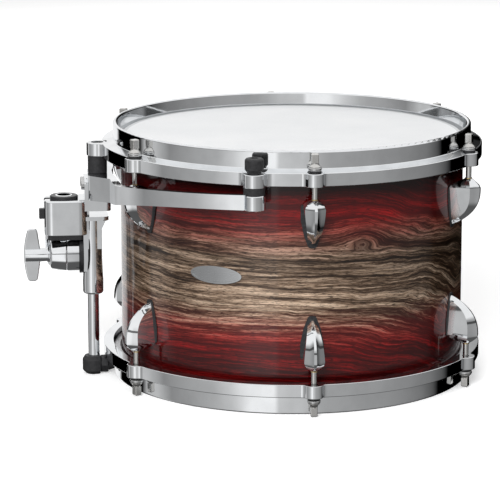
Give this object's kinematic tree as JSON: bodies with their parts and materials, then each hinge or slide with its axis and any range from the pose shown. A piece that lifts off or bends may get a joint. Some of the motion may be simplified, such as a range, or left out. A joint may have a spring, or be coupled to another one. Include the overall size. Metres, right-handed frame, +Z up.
{
  "type": "tom tom drum",
  "caption": "Suspended tom drum with a lacquered wooden shell, die-cast hoops, tension rods and lugs, and a hoop-hung clamp with a support leg.",
  "frame": {"origin": "on the drum's axis, in the plane of the bottom rim that the drum stands on", "axes": "+Z up along the drum's axis towards the batter head; the tom mount and leg are on the -X side; one column of lugs faces -Y"},
  "size_m": [0.4082, 0.3568, 0.2274],
  "materials": {
    "lacquered_shell": "gloss lacquer over figured walnut with a red burst at both ends",
    "bare_wood": "satin",
    "badge_metal": "satin",
    "chrome": "polished",
    "rod_steel": "plated, slightly satin",
    "steel": "zinc plated",
    "coated_film": "matt white coating",
    "clear_film": "smooth, hazy",
    "aluminium": "extruded",
    "rubber": "moulded, matt",
    "nylon": "moulded",
    "brass": "turned"
  },
  "bodies": {
    "drum": {"shell": "lacquered_shell", "upper_sound_ring": "bare_wood", "lower_sound_ring": "bare_wood", "badge": "badge_metal", "vent_eyelet": "chrome", "batter_film": "coated_film", "resonant_film": "clear_film", "batter_flesh_hoop": "aluminium", "resonant_flesh_hoop": "aluminium", "top_hoop": "chrome", "bottom_hoop": "chrome", "top_lugs": "chrome", "bottom_lugs": "chrome", "lug_gaskets": "rubber", "lug_inserts": "brass", "lug_screws": "steel", "lug_screw_washers": "steel", "rod_cushions": "nylon", "rod_washers": "steel", "mount_arm": "chrome", "left_grommet": "rubber", "side_grommets": "rubber", "mount_studs": "steel", "stud_nuts": "steel", "stud_caps": "rubber", "clamp_body": "chrome", "socket_bushing": "nylon", "socket_sleeve": "chrome", "clamp_liner": "nylon", "barrel_inner": "chrome", "barrel_outer": "chrome", "eye_bolt": "steel", "bracket_screws": "steel"},
    "top_rod_1": {"top_rod_1": "rod_steel"},
    "top_rod_2": {"top_rod_2": "rod_steel"},
    "top_rod_3": {"top_rod_3": "rod_steel"},
    "top_rod_4": {"top_rod_4": "rod_steel"},
    "top_rod_5": {"top_rod_5": "rod_steel"},
    "top_rod_6": {"top_rod_6": "rod_steel"},
    "bottom_rod_1": {"bottom_rod_1": "rod_steel"},
    "bottom_rod_2": {"bottom_rod_2": "rod_steel"},
    "bottom_rod_3": {"bottom_rod_3": "rod_steel"},
    "bottom_rod_4": {"bottom_rod_4": "rod_steel"},
    "bottom_rod_5": {"bottom_rod_5": "rod_steel"},
    "bottom_rod_6": {"bottom_rod_6": "rod_steel"},
    "wing_nut": {"wing_nut": "chrome"},
    "leg": {"leg_rod": "chrome"},
    "foot": {"leg_foot": "rubber", "foot_nut": "nylon", "foot_tip": "rubber"},
    "leg_screw": {"leg_screw": "steel"}
  },
  "joints": [
    {"name": "top_rod_1_turn", "type": "hinge", "parent": "drum", "child": "top_rod_1", "pos_m": [0, -0.1672, 0.19], "axis": [0, 0, 1], "continuous": true},
    {"name": "top_rod_2_turn", "type": "hinge", "parent": "drum", "child": "top_rod_2", "pos_m": [-0.1448, -0.0836, 0.19], "axis": [0, 0, 1], "continuous": true},
    {"name": "top_rod_3_turn", "type": "hinge", "parent": "drum", "child": "top_rod_3", "pos_m": [-0.1448, 0.0836, 0.19], "axis": [0, 0, 1], "continuous": true},
    {"name": "top_rod_4_turn", "type": "hinge", "parent": "drum", "child": "top_rod_4", "pos_m": [0, 0.1672, 0.19], "axis": [0, 0, 1], "continuous": true},
    {"name": "top_rod_5_turn", "type": "hinge", "parent": "drum", "child": "top_rod_5", "pos_m": [0.1448, 0.0836, 0.19], "axis": [0, 0, 1], "continuous": true},
    {"name": "top_rod_6_turn", "type": "hinge", "parent": "drum", "child": "top_rod_6", "pos_m": [0.1448, -0.0836, 0.19], "axis": [0, 0, 1], "continuous": true},
    {"name": "bottom_rod_1_turn", "type": "hinge", "parent": "drum", "child": "bottom_rod_1", "pos_m": [0, -0.1672, 0.0374], "axis": [0, 0, 1], "continuous": true},
    {"name": "bottom_rod_2_turn", "type": "hinge", "parent": "drum", "child": "bottom_rod_2", "pos_m": [-0.1448, -0.0836, 0.0374], "axis": [0, 0, 1], "continuous": true},
    {"name": "bottom_rod_3_turn", "type": "hinge", "parent": "drum", "child": "bottom_rod_3", "pos_m": [-0.1448, 0.0836, 0.0374], "axis": [0, 0, 1], "continuous": true},
    {"name": "bottom_rod_4_turn", "type": "hinge", "parent": "drum", "child": "bottom_rod_4", "pos_m": [0, 0.1672, 0.0374], "axis": [0, 0, 1], "continuous": true},
    {"name": "bottom_rod_5_turn", "type": "hinge", "parent": "drum", "child": "bottom_rod_5", "pos_m": [0.1448, 0.0836, 0.0374], "axis": [0, 0, 1], "continuous": true},
    {"name": "bottom_rod_6_turn", "type": "hinge", "parent": "drum", "child": "bottom_rod_6", "pos_m": [0.1448, -0.0836, 0.0374], "axis": [0, 0, 1], "continuous": true},
    {"name": "wing_nut_turn", "type": "hinge", "parent": "drum", "child": "wing_nut", "pos_m": [-0.225, 0, 0.1095], "axis": [1, 0, 0], "range_deg": [0, 360]},
    {"name": "leg_slide", "type": "slide", "parent": "drum", "child": "leg", "axis": [0, 0, 1], "range_m": [-0.02, 0]},
    {"name": "foot_turn", "type": "hinge", "parent": "leg", "child": "foot", "pos_m": [-0.178, 0, 0.0082], "axis": [0, 0, 1], "continuous": true},
    {"name": "leg_screw_turn", "type": "hinge", "parent": "drum", "child": "leg_screw", "pos_m": [-0.178, 0.01, 0.0835], "axis": [0, 1, 0], "continuous": true}
  ]
}
